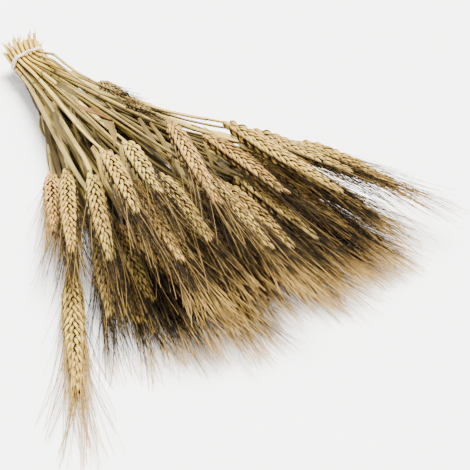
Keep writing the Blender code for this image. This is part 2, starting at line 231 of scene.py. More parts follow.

# painted shade on the straws, blades, husks and awns that lie deep in the bunch, by row from the floor up
PAINTED_DEPTH_SHADE = [0.94, 0.90, 0.84, 0.72, 0.52, 0.24, 0.0]

# azimuths between which the stalks lie in the fan, and how far in from there they show all round; nearer the
# edges they get less painted shade, and their awns get painted light
FAN = (-17.0, 19.0)
FAN_EDGE = 7.0

# how far the fine awns may stand out of the box of the solids
PROUD = np.array([9.0, 6.0, 1.2])

# camera in the frame of the laying: place in millimetres, looking direction and angle of view
CAMERA_AT = (730.0, -262.0, 365.0)
CAMERA_AIM = (-0.687, 0.446, -0.574)
CAMERA_ANGLE = 28.0

# stage: half side of the floor in metres, strength of the sky, and the sun
FLOOR_HALF = 12
SKY_STRENGTH = 1.8
SUN_STRENGTH = 17.0
SUN_ANGLE = 38
SUN_COLOR = (1.0, 0.985, 0.955)
SUN_AIM = (0.29, -0.52, -1.2)


def polar(azimuth, distance):
    """Plan position of a point of the fan."""
    angle = math.radians(azimuth)
    return distance * np.array([math.cos(angle), math.sin(angle)])


def unit(vectors):
    """Vectors scaled to length one."""
    return vectors / np.linalg.norm(vectors, axis=-1, keepdims=True)


def held(values, half):
    """Values with their first and last one repeated at the ends."""
    return np.r_[np.full(half, values[0]), values, np.full(half, values[-1])]


def smooth(values, half):
    """Running mean with the ends held."""
    total = np.r_[0.0, np.cumsum(held(values, half))]
    window = 2 * half + 1
    return (total[window:] - total[:-window]) / window


def widened(values, half):
    """Running highest value with the ends held."""
    padded = held(values, half)
    shifts = [padded[k:k + len(values)] for k in range(2 * half + 1)]
    return np.max(shifts, axis=0)


def tight_string(along, heights):
    """A string pulled tight over the heights: their upper hull."""
    keep = [0]
    for i in range(1, len(along)):
        while len(keep) > 1:
            a = keep[-2]
            b = keep[-1]
            rise_b = (heights[b] - heights[a]) * (along[i] - along[a])
            rise_i = (heights[i] - heights[a]) * (along[b] - along[a])
            if rise_b > rise_i:
                break
            keep.pop()
        keep.append(i)
    return np.interp(along, along[keep], heights[keep])


def measured(points):
    """Distance along a polyline at each of its points."""
    return np.r_[0.0, np.cumsum(np.linalg.norm(np.diff(points, axis=0), axis=1))]


def sampled(points, run, at):
    """Points of a polyline at given distances along it."""
    return np.stack([np.interp(at, run, values) for values in points.T], axis=1)


def hermite(start, end, leave, arrive, count):
    """Plan curve between two points with given end tangents."""
    u = np.linspace(0, 1, count)[:, None]
    near = (2 * u**3 - 3 * u**2 + 1) * start + (-2 * u**3 + 3 * u**2) * end
    return near + (u**3 - 2 * u**2 + u) * leave + (u**3 - u**2) * arrive


class Heap:
    """Height of everything laid so far, on a fine grid."""

    def __init__(self):
        self.height = np.zeros(GRID_SIZE)
        self.spread = np.linspace(-1, 1, 65)

    def cells(self, xy, wide, margin):
        """Grid cells under a strip that follows the plan path."""
        tangent = unit(np.gradient(xy, axis=0))
        normal = np.stack([-tangent[:, 1], tangent[:, 0]], axis=1)
        reach = self.spread * (wide + margin)[:, None]
        at = xy[:, None] + normal[:, None] * reach[..., None]
        i = ((at[..., 0] - GRID_X) / CELL).round().astype(int)
        j = ((at[..., 1] - GRID_Y) / CELL).round().astype(int)
        return np.clip(i, 0, GRID_SIZE[0] - 1), np.clip(j, 0, GRID_SIZE[1] - 1)

    def bulge(self, thick, power):
        """Half thickness of the piece across its width."""
        across = (1 - abs(self.spread) ** power[:, None]) ** (1 / power[:, None])
        return thick[:, None] * across

    def least_height(self, xy, wide, thick, power):
        """Lowest axis height that clears what lies below."""
        under = self.height[self.cells(xy, wide, GAP)]
        above_pieces = (np.where(under > 0, under + GAP, 0) + self.bulge(thick, power)).max(axis=1)
        return np.maximum(above_pieces, thick)

    def add(self, xy, wide, thick, power, z):
        """Raise the heap to the top of a laid piece."""
        top = z[:, None] + self.bulge(thick, power)
        np.maximum.at(self.height, self.cells(xy, wide, 0), top)


def room(s, base, ear, share, reach):
    """Half width, half thickness and section power of the room that a stalk takes along itself."""
    swell = np.clip((s - base + 3) / 8, 0, 1)
    past_belly = s - base - EAR_TAPER_FROM * ear
    narrowing = (1 - EAR_TAPER_FROM) * ear
    grow = np.clip(past_belly / (narrowing + reach), 0, 1)
    past = np.clip((s - base - ear) / reach, 0, 1)
    taper = np.clip(past_belly / narrowing, 0, 1)
    wide = STEM_R + swell * (share * EAR_WIDE + 0.2 - STEM_R) + grow * share * (AWN_SPREAD - EAR_WIDE)
    thick = STEM_R + swell * (share * EAR_THICK + 0.2 - STEM_R) - share * (1.7 * taper + 1.7 * past)
    power = np.where(s < base - 3, 2.0, 2.6)
    return wide, thick, power


def lay_stalks():
    """Place every stalk; returns the stalks and the heap they make."""
    rng = random.Random(SEED)
    heap = Heap()
    places = [(row, k) for row, spec in enumerate(ROWS) for k in range(len(spec[1]))]
    places = [p for p in places if p not in SMALL] + SMALL
    stalks = []
    for row, k in places:
        far, azimuths = ROWS[row]
        count = len(azimuths)
        azimuth = azimuths[k] + rng.uniform(-0.4, 0.4)
        distance = far + rng.uniform(-BASE_SCATTER, BASE_SCATTER)
        ear = rng.uniform(*EAR_LONG)
        heading = azimuth + rng.uniform(-1.6, 1.6)
        cut = CUT_LENGTH - rng.uniform(0, 8)
        roll = rng.uniform(-9, 9)
        end = polar(azimuth, distance)
        tip = end + polar(heading, ear)
        low = (0, 0)
        if (row, k) in CHOSEN:
            chosen = CHOSEN[row, k]
            end = polar(chosen[0], chosen[1])
            tip = polar(chosen[2], chosen[3])
            low = chosen[4:]
            ear = np.linalg.norm(tip - end)
        small = (row, k) in SMALL
        share = SMALL_EAR_SHARE if small else 1.0
        reach = SMALL_AWN_REACH if small else AWN_REACH

        # plan: stub behind the loop, curved straw, straight ear and awns
        slot = (k - (count - 1) / 2) * SLOT_PITCH
        slot_z = LOOP_THICK + LOOP_CLEAR + STEM_R + row * ROW_RISE
        toward = (tip - end) / ear
        distance = np.linalg.norm(end)
        leave = np.array([1.0, 0.3 * end[1] / end[0]]) * distance * 0.9
        straw = hermite(np.array([0.0, slot]), end, leave, toward * distance * 0.9, 400)
        back = np.array([cut, 0.5 * (cut + 8), 8.0])
        u = back / CUT_LENGTH
        stub = np.stack([-back, slot * (1 + STUB_FLARE * u**1.5) + STUB_SWERVE * u**1.5], axis=1)

        # corners of the solid: the straw in spans, then one straight run to the awn ends
        run = measured(straw)
        spans = max(3, round((run[-1] - 12) / STRAW_SPAN))
        at = np.linspace(9, run[-1] - 3, spans + 1)
        bends = sampled(straw, run, at)
        tail = end + toward * (ear + reach)
        corners = np.vstack([stub, bends, end, tip, tail])
        mark = measured(corners)
        tie = mark[2] + 8
        base = mark[-3]
        s = np.arange(0, mark[-1], STEP)
        xy = sampled(corners, mark, s)

        # height: a springy straw over the heap, held level through the loop
        wide, thick, power = room(s, base, ear, share, reach)
        need = heap.least_height(xy, wide, thick, power)
        hold = int((tie + 8) / STEP)
        at_base = int(base / STEP)
        at_tip = int((base + ear) / STEP)
        need[at_base] = max(need[at_base], low[0])
        need[at_tip] = max(need[at_tip], low[1])
        lifted = widened(need[hold:], 20)
        lifted[0] = slot_z
        string = tight_string(s[hold:], lifted)
        sagging = np.minimum(string, smooth(widened(lifted, 50), 50))
        z = np.full(len(s), slot_z)
        z[hold:] = STIFF * string + (1 - STIFF) * sagging
        z = smooth(z, 20)
        behind = np.clip((tie - s) / CUT_LENGTH, 0, None)
        z = np.where(s < tie, slot_z * (1 + 0.22 * behind**1.5), z)

        # the solid is straight between its corners: lift the ends of a span that touches
        knots = np.array([*mark[:-3], base, mark[-1]])
        heights = np.interp(knots, s, z)
        free = np.clip((knots - mark[3]) / RAISE_REACH, 0, 1)
        for _ in range(60):
            short = need - np.interp(s, knots, heights)
            short[:hold + 1] = 0
            worst = int(np.argmax(short))
            if short[worst] < 0.01:
                break
            bump = np.exp(-((knots - s[worst]) / RAISE_REACH) ** 2) * free
            heights += short[worst] * 1.02 * bump / np.interp(s[worst], knots, bump)
        z = np.interp(s, knots, heights)
        heap.add(xy, wide, thick, power, z)
        stalks.append({
            "row": row, "place": k, "s": s, "path": np.column_stack([xy, z]), "base": base,
            "ear": ear, "share": share, "reach": reach, "roll": roll, "tie": tie, "small": small,
        })
    return stalks, heap


def lay_leaves(heap):
    """Place the leaves on top of the heap."""
    leaves = []
    for start, end, half, bow in LEAVES:
        a = polar(*start)
        b = polar(*end)
        toward = b - a
        side = np.array([-toward[1], toward[0]]) / np.linalg.norm(toward)
        curve = hermite(a, b, toward + side * bow * 4, toward - side * bow * 4, 200)
        run = measured(curve)
        s = np.arange(0, run[-1], STEP)
        xy = sampled(curve, run, s)
        u = s / s[-1]
        wide = half * (0.35 + 0.65 * np.sin(np.pi * u) ** 0.5)
        thick = np.full(len(s), LEAF_THICK + 0.7)
        power = np.full(len(s), 4.0)
        need = heap.least_height(xy, wide, thick, power)
        lifted = widened(need, 30)
        string = tight_string(s, lifted)
        z = smooth(0.5 * string + 0.5 * np.minimum(string, smooth(widened(lifted, 30), 30)), 16)
        heap.add(xy, wide, thick, power, z)
        leaves.append({"s": s, "path": np.column_stack([xy, z]), "wide": wide})
    return leaves


def frames(path, s, at, reach=2.0):
    """Point, tangent, side and up vectors of a path at given distances."""
    point = sampled(path, s, at)
    tangent = unit(sampled(path, s, at + reach) - sampled(path, s, at - reach))
    side = unit(np.stack([-tangent[:, 1], tangent[:, 0], np.zeros(len(at))], axis=1))
    return point, tangent, side, np.cross(tangent, side)


def ear_half_width(u, share):
    """Half width of the ear over its length, from base to tip."""
    start = np.minimum(1.0, 0.45 + 3.2 * u)
    taper = np.maximum(0.0, (u - EAR_TAPER_FROM) / (1 - EAR_TAPER_FROM))
    return share * EAR_WIDE * start * (1 - (1 - EAR_TIP_SHARE) * taper)


def stacked(x, y, z, like):
    """Three values at each point, as vectors; like has the shape that they are spread over."""
    return np.stack([np.broadcast_to(value, like.shape) for value in (x, y, z)], axis=-1)


class Skin:
    """Vertices and faces of one piece, gathered loft by loft.

    tone holds what the material reads at a point (shade, place along the form, kind of stalk), and
    grain the point's own place in the loft, so that fibres follow it.
    """

    def __init__(self):
        self.points = []
        self.tones = []
        self.grains = []
        self.polygons = []
        self.materials = []
        self.count = 0

    def loft(self, rings, tone, grain, material=0, ring_closed=False):
        """Skins of many lofts at once; rings is lofts x rings x corners x 3."""
        lofts, length, corners = rings.shape[:3]
        self.points.append(rings.reshape(-1, 3))
        self.tones.append(np.broadcast_to(tone, rings.shape).reshape(-1, 3))
        self.grains.append(np.broadcast_to(grain, rings.shape).reshape(-1, 3))
        index = np.arange(lofts * length * corners).reshape(lofts, length, corners) + self.count
        self.count += index.size
        follow = np.roll(index, -1, axis=2)
        if ring_closed:
            quads = np.stack([index, follow, np.roll(follow, -1, axis=1), np.roll(index, -1, axis=1)], -1)
        else:
            quads = np.stack([index[:, :-1], follow[:, :-1], follow[:, 1:], index[:, 1:]], -1)
            self.add_faces(index[:, 0, ::-1], material)
            self.add_faces(index[:, -1], material)
        self.add_faces(quads.reshape(-1, 4), material)

    def add_faces(self, faces, material):
        """Faces by their vertex numbers, all of one size."""
        self.polygons.append(faces)
        self.materials.append(np.full(len(faces), material))

    def piece(self, name, node, materials, shift):
        """Make the object, in place of its solid."""
        mesh = bpy.data.meshes.new(name)
        points = np.concatenate(self.points) * MM + shift
        mesh.vertices.add(len(points))
        mesh.vertices.foreach_set("co", points.ravel())
        corners = np.concatenate([faces.ravel() for faces in self.polygons])
        sizes = np.concatenate([np.full(len(faces), faces.shape[1]) for faces in self.polygons])
        mesh.loops.add(len(corners))
        mesh.loops.foreach_set("vertex_index", corners)
        mesh.polygons.add(len(sizes))
        mesh.polygons.foreach_set("loop_start", np.r_[0, np.cumsum(sizes)[:-1]])
        mesh.polygons.foreach_set("material_index", np.concatenate(self.materials))
        mesh.polygons.foreach_set("use_smooth", sizes < 5)
        mesh.update(calc_edges=True)
        for title, values in (("tone", self.tones), ("grain", self.grains)):
            layer = mesh.attributes.new(title, "FLOAT_VECTOR", "POINT")
            layer.data.foreach_set("vector", np.concatenate(values).astype(np.float32).ravel())
        for material in materials:
            mesh.materials.append(material)
        obj = placed(name, mesh)
        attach(obj, "root")
        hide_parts(node)


def sections(centre, across, broad, above, out):
    """Corners of sections: so far across along broad and so far above along out."""
    sideways = across[..., None] * broad[..., None, :]
    return centre[..., None, :] + sideways + above[..., None] * out[..., None, :]


def round_rings(centre, side, up, half_side, half_up, corners):
    """Elliptic sections round the centres; the leading axes of all arrays are lofts and rings."""
    angle = np.arange(corners) * 2 * np.pi / corners
    across = half_side[..., None] * np.cos(angle)
    above = half_up[..., None] * np.sin(angle)
    return sections(centre, across, side, above, up), across, above


def slimness(share):
    """Share of its full thickness that a straw or an awn has, by the size of its ear."""
    return 0.55 + 0.45 * share


def place_in_fan(stalk):
    """Azimuth of a stalk, and how far inside the edges of the fan it lies: 0 at an edge, 1 inside."""
    x, y = stalk["path"][int(stalk["base"] / STEP), :2]
    azimuth = math.degrees(math.atan2(y, x))
    inside = min(azimuth - FAN[0], FAN[1] - azimuth) / FAN_EDGE
    return azimuth, min(1.0, max(0.0, inside))


def add_straw(skin, stalk, rng, kind):
    """Hollow cut end, nodes and sheaths of one straw, up to inside the ear."""
    s = stalk["s"]
    base = stalk["base"]
    share = stalk["share"]
    tie = stalk["tie"]
    path = stalk["path"].copy()
    joined = int((base - 4) / STEP)
    for axis in range(3):
        softened = smooth(path[:, axis], 14)
        path[30:joined, axis] = softened[30:joined]
    node = tie + rng.uniform(*NODE_AT)
    sheath_end = node + rng.uniform(*SHEATH_LONG)
    broad = stalk["row"] > 2 and rng.random() < 0.45
    sheath_end = min(sheath_end, base - 12)
    if broad:
        sheath_end = base - rng.uniform(6, 26)
    at = np.arange(2.5, base + 3, STRAW_RING_STEP)
    round_node = node + np.array([-3, -1.4, 0, 1.4, 3])
    round_end = sheath_end + np.array([-1, 0, 0.6])
    at = np.unique(np.r_[at, round_node, round_end].round(2))
    at = at[np.r_[True, np.diff(at) > 0.3]]

    def radius(v):
        """Radius of the straw at a distance from its cut end."""
        grown = np.clip((v - tie) / (base - tie), 0, 1)
        r = STRAW_R - STRAW_THINS * grown
        sheathed = (v > node) & (v <= sheath_end)
        r = r + np.where(sheathed, SHEATH_THICK + 0.1 * grown, 0)
        return (r + NODE_THICK * np.exp(-((v - node) / 1.5) ** 2)) * slimness(share)

    point, tangent, side, up = frames(path, s, at)
    r = radius(at)
    flat = np.where(broad & (at > node + 25) & (at <= sheath_end), np.clip((at - node - 25) / 40, 0, 1), 0)
    half_side = r * (1 + 0.42 * flat)
    half_up = r * (1 - 0.08 * flat)
    hollow = np.array([HOLLOW, 0.4, 0.0])
    mouth = frames(path, s, hollow)
    mouth_r = radius(np.array([0.0]))[0] * np.array([0.62, 0.74, 1.0])
    along = np.r_[hollow, at]
    pairs = (mouth[0], point), (mouth[2], side), (mouth[3], up), (mouth_r, half_side), (mouth_r, half_up)
    rings, across, above = round_rings(*[np.concatenate(pair)[None] for pair in pairs], STRAW_SIDES)
    slant = rng.uniform(-0.5, 0.5)
    rings[0, 1:3] += (slant * across[0, 1:3])[..., None] * tangent[0]
    # tone[1]: dark nodes and a darker band where the sheath ends, painted shade at the bottom of the hollow
    # cut end, and painted shade on straws deep in the bunch
    dark = np.exp(-((along - node) / 1.8) ** 2)
    dark = np.maximum(dark, 0.8 * (np.arange(len(along)) < 1))
    dark = np.maximum(dark, 0.45 * np.exp(-((along - sheath_end) / 1.2) ** 2))
    painted_buried_shade = np.clip((along - tie - 40) / 60, 0, 1) * stalk["depth"]
    dark = np.maximum(dark, painted_buried_shade)
    pale = np.where((along > node) & (along <= sheath_end), 0.75, 0.35) + rng.uniform(-0.35, 0.3)
    away = np.clip((along - tie - 15) / 80, 0, 1)
    tone = np.stack([pale * (0.25 + 0.75 * away), dark, kind * away], axis=1)[None, :, None, :]
    grain = stacked(across, above, along[None, :, None], across)
    grain = grain + np.array([stalk["row"] * 17.0 + stalk["place"] * 23.0, 0.0, 0.0])
    skin.loft(rings, tone, grain, STRAW)
    blades = BLADES[stalk["row"]] + (MORE_BLADES if stalk["azimuth"] > MORE_FROM else 0)
    for _ in range(0 if stalk["small"] else blades):
        add_blade(skin, stalk, rng, node, kind)
    add_slivers(skin, stalk, rng)


def add_slivers(skin, stalk, rng):
    """Split pieces of the straw's skin that spread from its cut end."""
    root = frames(stalk["path"], stalk["s"], np.array([HOLLOW]))
    point, tangent, side, up = [v[0] for v in root]
    outward = np.array([0.0, point[1], point[2] - BUNDLE_MIDDLE])
    outward = outward / max(6.0, np.linalg.norm(outward))
    u = np.linspace(0, 1, 6)
    rings = []
    for _ in range(SLIVERS):
        turn = rng.uniform(0, 2 * np.pi)
        lean = rng.uniform(0.05, 0.30) * outward + rng.normal(0, 0.07, 3)
        away = math.cos(turn) * side + math.sin(turn) * up
        long = rng.uniform(*SLIVER_LONG)
        middle = point + 1.2 * away - (long * u)[:, None] * tangent + (long * u**1.5)[:, None] * lean
        broad = math.sin(turn) * side - math.cos(turn) * up
        half = rng.uniform(*SLIVER_HALF) * (1 - 0.75 * u)
        across = half[:, None] * np.array([1.0, 0.0, -1.0, 0.0])
        above = np.array([0.0, SLIVER_THICK, 0.0, -SLIVER_THICK])
        rings.append(sections(middle, across, broad, above, away))
    rings = np.stack(rings)
    rings[..., 2] = np.maximum(rings[..., 2], 0.3)
    tone = stacked(rng.uniform(0.4, 1.3, (SLIVERS, 1, 1)), 0.0, 0.0, rings[..., 0])
    grain = stacked(rings[..., 1] * 1.5, 0.6, rings[..., 0], rings[..., 0])
    skin.loft(rings, tone, grain, STRAW)


def add_blade(skin, stalk, rng, node, kind):
    """Long dry leaf blade from a node or from below the ear, lying beside its straw low in the bunch."""
    base = stalk["base"]
    if rng.random() < 0.5:
        start = rng.uniform(node, max(node + 10, base - 110))
    else:
        start = base - rng.uniform(15, 60)
    far = stalk["azimuth"] > FAR_FROM
    end = min(start + rng.uniform(*BLADE_LONG), base + (FAR_BLADE_PAST if far else BLADE_PAST))
    at = np.linspace(start, end, BLADE_POINTS)
    u = (at - start) / (at[-1] - start)
    point, tangent, side, up = frames(stalk["path"], stalk["s"], at, 4.0)
    away = np.clip((at - stalk["tie"] - 60) / 80, 0.15, 1)
    low = stalk["row"] < 3
    way = rng.choice([-1, 1])
    if stalk["azimuth"] < -12:
        way = 1
    if far:
        way = 1 if rng.random() < 0.8 else -1
    most = FAR_BLADE_DRIFT if far else LOW_BLADE_DRIFT if low else BLADE_DRIFT
    drift = way * rng.uniform(1.0, most) * u**0.8 * away + rng.uniform(-0.8, 0.8) * np.sin(u * 9)
    drop = 1.2 + (rng.uniform(0.25, 0.95) * (point[:, 2] - 2.0)).clip(0) * np.minimum(1, 0.3 + 3 * u)
    middle = point + drift[:, None] * side - drop[:, None] * up
    half = rng.uniform(*(LOW_BLADE_HALF if low else BLADE_HALF)) * np.minimum(1, 0.5 + 3 * u)
    half = half * np.minimum(1, 0.12 + 1.9 * (1 - u))
    turn = rng.uniform(-0.9, 0.9) + rng.uniform(-2.2, 2.2) * u
    broad = np.cos(turn)[:, None] * side + np.sin(turn)[:, None] * up
    out = np.cross(tangent, broad)
    across = half[:, None] * BLADE_ACROSS
    above = np.broadcast_to(BLADE_DEEP, across.shape)
    rings = sections(middle, across, broad, above, out)
    rings[..., 2] = np.maximum(rings[..., 2], 0.2 + 0.1 * above)
    # painted shade on blades deep in the bunch, with random darkness on top
    dark = min(0.97, 0.8 * stalk["depth"] + rng.uniform(0.2, 0.8))
    tone = np.array([rng.uniform(0.1, 0.8), dark, kind])
    grain = stacked(across * 1.3 + rng.uniform(0, 50), above + 0.6, at[:, None], across)
    skin.loft(rings[None], tone, grain[None], STRAW)


def add_ear(skin, stalk, rng, kind, limits):
    """Rachis, two ranks of crowned husks and the awns that leave their points."""
    ear = stalk["ear"]
    share = stalk["share"]
    roll = math.radians(stalk["roll"])
    ahead = 4.0
    at_foot = frames(stalk["path"], stalk["s"], np.array([stalk["base"] + ahead]))
    origin, tangent, side, up = [v[0] for v in at_foot]
    origin = origin - tangent * ahead
    across_axis = math.cos(roll) * side - math.sin(roll) * up
    thick_axis = math.sin(roll) * side + math.cos(roll) * up
    bend_side = rng.uniform(-1.6, 1.6)

    def place(x, y, v):
        """Point of the ear's own coordinates in the frame of the laying."""
        run = v / ear
        curve = bend_side * np.sin(np.pi * np.clip(run, 0, 1)) * share
        return (origin + v[..., None] * tangent + (x + curve)[..., None] * across_axis
                + y[..., None] * thick_axis)

    step = SPIKELET_STEP * share
    count = int(round((ear - 4 * share) / step))
    husks = []
    awns = []

    def husk(foot, belly, point, half_wide, half_deep, out, plump):
        """One husk from its foot over its belly to its point, each (x, y, v) in the ear."""
        ends = [np.array(p) + rng.normal(0, HUSK_JITTER * share, 3) for p in (belly, point)]
        wide = half_wide * share * plump
        # random shade of each husk, with painted shade towards the ear's tip where the awns veil it
        lit = rng.random() * (1 - 0.5 * min(1.0, max(0.0, (foot[2] / ear - 0.45) / 0.5)))
        husks.append((*foot, *ends[0], *ends[1], wide, half_deep * share * plump, *out, lit))
        return ends[1]

    for k in range(count):
        u = (k + 0.5) / count
        rank = 1 if k % 2 else -1
        half = float(ear_half_width(u, share)) * EAR_SLIM
        thick = half * EAR_THICK / EAR_WIDE
        grow = 0.72 + 0.28 * min(1, u * 6)
        start = k * step - 1.0 * share
        tipward = min(1.0, max(0.0, (u - 0.6) / 0.4))
        plump = rng.uniform(0.88, 1.06) * (1 - 0.3 * tipward)
        for level, kinds in ((1, FACE_HUSKS), (-1, FACE_HUSKS), (0, EDGE_HUSKS)):
            for foot, belly, point, foot_up, all_up, lengths, middle, wide, deep, out, awned in kinds:
                long = share * grow * rng.uniform(*lengths)
                rise = start + all_up * share
                tip = husk(
                    (rank * half * foot[0], level * thick * foot[1], start + foot_up * share),
                    (rank * half * belly[0], level * thick * belly[1], rise + long * middle),
                    (rank * half * point[0], level * thick * point[1], rise + long),
                    wide, deep, (out[0] * rank, out[1] * level), plump,
                )
                if awned:
                    awns.append((*tip, rank, level, u))
    for level in (1, -1, 0):
        long = 8.0 * share
        start = count * step - 3.0 * share
        tip = husk(
            (0.4 * level, 0.9 * level, start), (0.9 * level, 1.4 * level, start + long * 0.45),
            (0.6 * level, 1.1 * level, start + long),
            1.3, 0.95, (0.3, 0.95 if level >= 0 else -0.95), 0.75,
        )
        awns.append((*tip, level or 1, level, 1.0))
    husks = np.array(husks)
    foot, belly, point = (husks[:, k:k + 3].T[..., None] for k in (0, 3, 6))
    wide, deep, out_side, out_thick, own = husks[:, 9:].T[..., None]
    t, swell = HUSK_PROFILE.T[:, None]
    bend = 2 * belly - 0.5 * (foot + point)
    local = (1 - t) ** 2 * foot + 2 * t * (1 - t) * bend + t**2 * point
    centre = place(*local)
    along = unit(np.gradient(centre, axis=1))
    out = (out_side * across_axis + out_thick * thick_axis)[:, None, :]
    out = unit(out - (out * along).sum(-1, keepdims=True) * along)
    broad = np.cross(out, along)
    angle = np.arange(HUSK_SIDES) * 2 * np.pi / HUSK_SIDES
    crown = np.where(np.sin(angle) > 0, 1.25, 0.75) * np.sin(angle)
    across = (wide * swell)[..., None] * np.cos(angle)
    above = (deep * swell)[..., None] * crown
    rings = sections(centre, across, broad, above, out)
    rings[..., 2] = np.maximum(rings[..., 2], 0.15)
    # painted shade on husks deep in the bunch, times each husk's own shade
    lit = 1 - stalk["depth"]
    shade = lit * (0.25 + 0.75 * own[..., None])
    apart = (np.arange(len(husks)) * 7.3)[:, None, None]
    grain = stacked(across + apart, above, local[2][..., None], across)
    skin.loft(rings, stacked(shade, t[..., None], kind, across), grain, HUSK)

    # rachis, coloured as a husk's foot: painted shade in the gaps between the husks
    v = np.linspace(-2, count * step, RACHIS_POINTS)
    centre = place(RACHIS_SWAY * np.sin(v * np.pi / step), np.zeros(RACHIS_POINTS), v)
    bar = np.ones((1, RACHIS_POINTS))
    sideways = across_axis * bar[..., None]
    outwards = thick_axis * bar[..., None]
    rings, across, above = round_rings(centre[None], sideways, outwards, bar * share, bar * 0.7 * share, 6)
    skin.loft(rings, np.array([0.3, 0.0, kind]), stacked(across, above, above, across), HUSK)
    add_awns(skin, stalk, rng, kind, np.array(awns), place, limits)


def add_awns(skin, stalk, rng, kind, awns, place, limits):
    """Long thin bristles that leave the husk points, run with the ear and open a little past it."""
    share = stalk["share"]
    count = (len(awns), 1)
    foot_x, foot_y, foot_v, rank, level, u = awns.T[..., None]
    limit = stalk["ear"] + stalk["reach"] + 6.0 * share
    long = share * rng.uniform(*AWN_LONG, count) * (0.62 + 0.38 * np.clip(u * 4, 0, 1))
    if stalk["small"]:
        long *= SMALL_AWN_SHARE
    long = np.minimum(long, limit - foot_v - rng.gamma(1.6, 4.0, count) * share)
    t = np.linspace(0, 1, AWN_POINTS)[None]
    open_side = rank * rng.uniform(0.0, 0.14, count) + rng.normal(0, 0.10, count)
    curl_side = rank * rng.uniform(-0.07, 0.05, count) + rng.normal(0, 0.05, count)
    open_up = level * rng.uniform(0.0, 0.08, count) + rng.normal(0, 0.045, count)
    curl_up = -0.02 * level + rng.uniform(-0.05, 0.03, count)

    def course(length):
        """Points along every awn when it is so long."""
        x = foot_x + length * (open_side * t + curl_side * t**2)
        y = foot_y + length * (open_up * t + curl_up * t**2)
        v = foot_v + length * t
        return place(x, y, v), v

    for _ in range(3):
        centre = course(long)[0]
        out = ((centre < limits[0]) & (np.arange(3) < 2)) | (centre > limits[1])
        long = np.where(out.any(axis=(1, 2))[:, None], long * 0.84, long)
    centre, v = course(long)
    centre[..., 2] = np.maximum(centre[..., 2], rng.uniform(0.3, 1.0, count))
    along = unit(np.gradient(centre, axis=1))
    side = unit(np.cross(np.array([0.0, 0.0, 1.0]), along))
    up = np.cross(along, side)
    r = AWN_R * slimness(share) * (1 - 0.6 * t) * rng.uniform(0.85, 1.15, count)
    rings, across, above = round_rings(centre, side, up, r, r, 3)
    # painted shade deep in the bunch that fades towards the tips, random tone by awn, and painted light on
    # the tips, on the fringe past the heap and on stalks at the edges of the fan
    lit = 1 - stalk["depth"]
    lit = lit + (1 - lit) * t[..., None] ** 1.5
    own = rng.random(count)[..., None]
    own = np.where(own > 0.78, own, own * 0.63)
    far = np.linalg.norm(centre[..., :2], axis=-1)
    fringe = np.clip((far - FRINGE_FROM) / FRINGE_OVER, 0, 1)[..., None]
    edge = 1 - stalk["inside"]
    tip_shade = (0.30 + 0.45 * fringe + 0.12 * own) * t[..., None] ** (1.7 - 1.3 * fringe)
    shade = np.maximum(np.maximum(lit * own, tip_shade), (0.64 + 0.16 * own) * edge)
    # place along the awn for its colour, moved on towards the pale end as painted light at the fringe and at
    # the edges of the fan
    along_and_painted_light = np.maximum(t[..., None] * (0.66 + 0.34 * fringe), 0.74 * edge)
    grain = stacked(across, above, v[..., None], across)
    skin.loft(rings, stacked(shade, along_and_painted_light, kind, across), grain, AWN)


def add_leaf(skin, leaf, rng, number):
    """Dry blade with raised veins, rolled edges and torn ends."""
    s = leaf["s"]
    at = np.linspace(0.2, s[-1] - 0.2, LEAF_RINGS)
    point, tangent, side, up = frames(leaf["path"], s, at, 4.0)
    u = at / s[-1]
    lance = np.minimum(1, 0.42 + 3.0 * u) * np.minimum(1, 0.10 + 1.5 * (1 - u)) ** 0.8
    ragged = 1 + 0.10 * np.sin(u * 23 + number * 2.1) + 0.07 * np.sin(u * 51 + number)
    half = 0.62 * np.max(leaf["wide"]) * lance * ragged
    x = np.linspace(1, -1, LEAF_ACROSS)
    frayed = rng.uniform(-1.0, 1.0, LEAF_ACROSS) * 2.4
    pull = np.exp(-np.minimum(u, 1 - u) * 18)[:, None] * np.where(u < 0.5, -1, 1)[:, None] * frayed
    veins = LEAF_VEIN * np.cos(np.arange(LEAF_ACROSS) * math.pi)
    wave = 0.5 * np.sin(u * 11.2 + number)[:, None] * x
    rolled = (1.5 + 0.9 * np.sin(u * 7 + number * 1.7)) * half / np.max(half)
    lift = rolled[:, None] * np.abs(x) ** 2.4 + veins + wave
    half_blade = np.maximum(0.12, 0.24 * (1 - x**8))
    top = point[:, None] + (half[:, None] * x)[..., None] * side[:, None]
    top = top + pull[..., None] * tangent[:, None]
    upper = top + (lift + half_blade)[..., None] * up[:, None]
    lower = top + (lift - half_blade)[..., None] * up[:, None]
    rings = np.concatenate([upper, lower[:, ::-1]], axis=1)[None]
    ribs = np.r_[veins, veins[::-1]] / (2 * LEAF_VEIN) + 0.5
    tone = stacked(ribs, u[None, :, None], number / 4, rings[..., 0])
    width = np.r_[x, x[::-1]] * half[None, :, None]
    skin.loft(rings, tone, stacked(width, 0.0, at[None, :, None], width))


def loop_outline(stalks):
    """Outline in y and z round the straws where the loop holds them."""
    near = np.array([-3.5, 0.0, 3.5])
    paths = [stalk["path"] for stalk in stalks]
    centres = np.concatenate([sampled(path[:, 1:], path[:, 0], near) for path in paths])
    outline = []
    for k in range(LOOP_SIDES):
        angle = 2 * math.pi * (k + 0.5) / LOOP_SIDES - math.pi / 2
        normal = np.array([math.cos(angle), math.sin(angle)])
        outline.append((*centres[np.argmax(centres @ normal)], *normal))
    return np.array(outline)


def loop_low_corner(outline):
    """Least x and y of the solid loops."""
    corners = []
    for turn in (-1, 1):
        slant = turn * LOOP_SLANT
        for out, along in ((0, -1), (1, -1), (1, 1), (0, 1)):
            yz = outline[:, :2] + outline[:, 2:] * (LOOP_INSIDE + out * LOOP_THICK)
            corners.append(np.stack([along * LOOP_WIDE / 2 + slant * yz[:, 0], yz[:, 0], yz[:, 1]], axis=1))
    return np.concatenate(corners).min(axis=0)


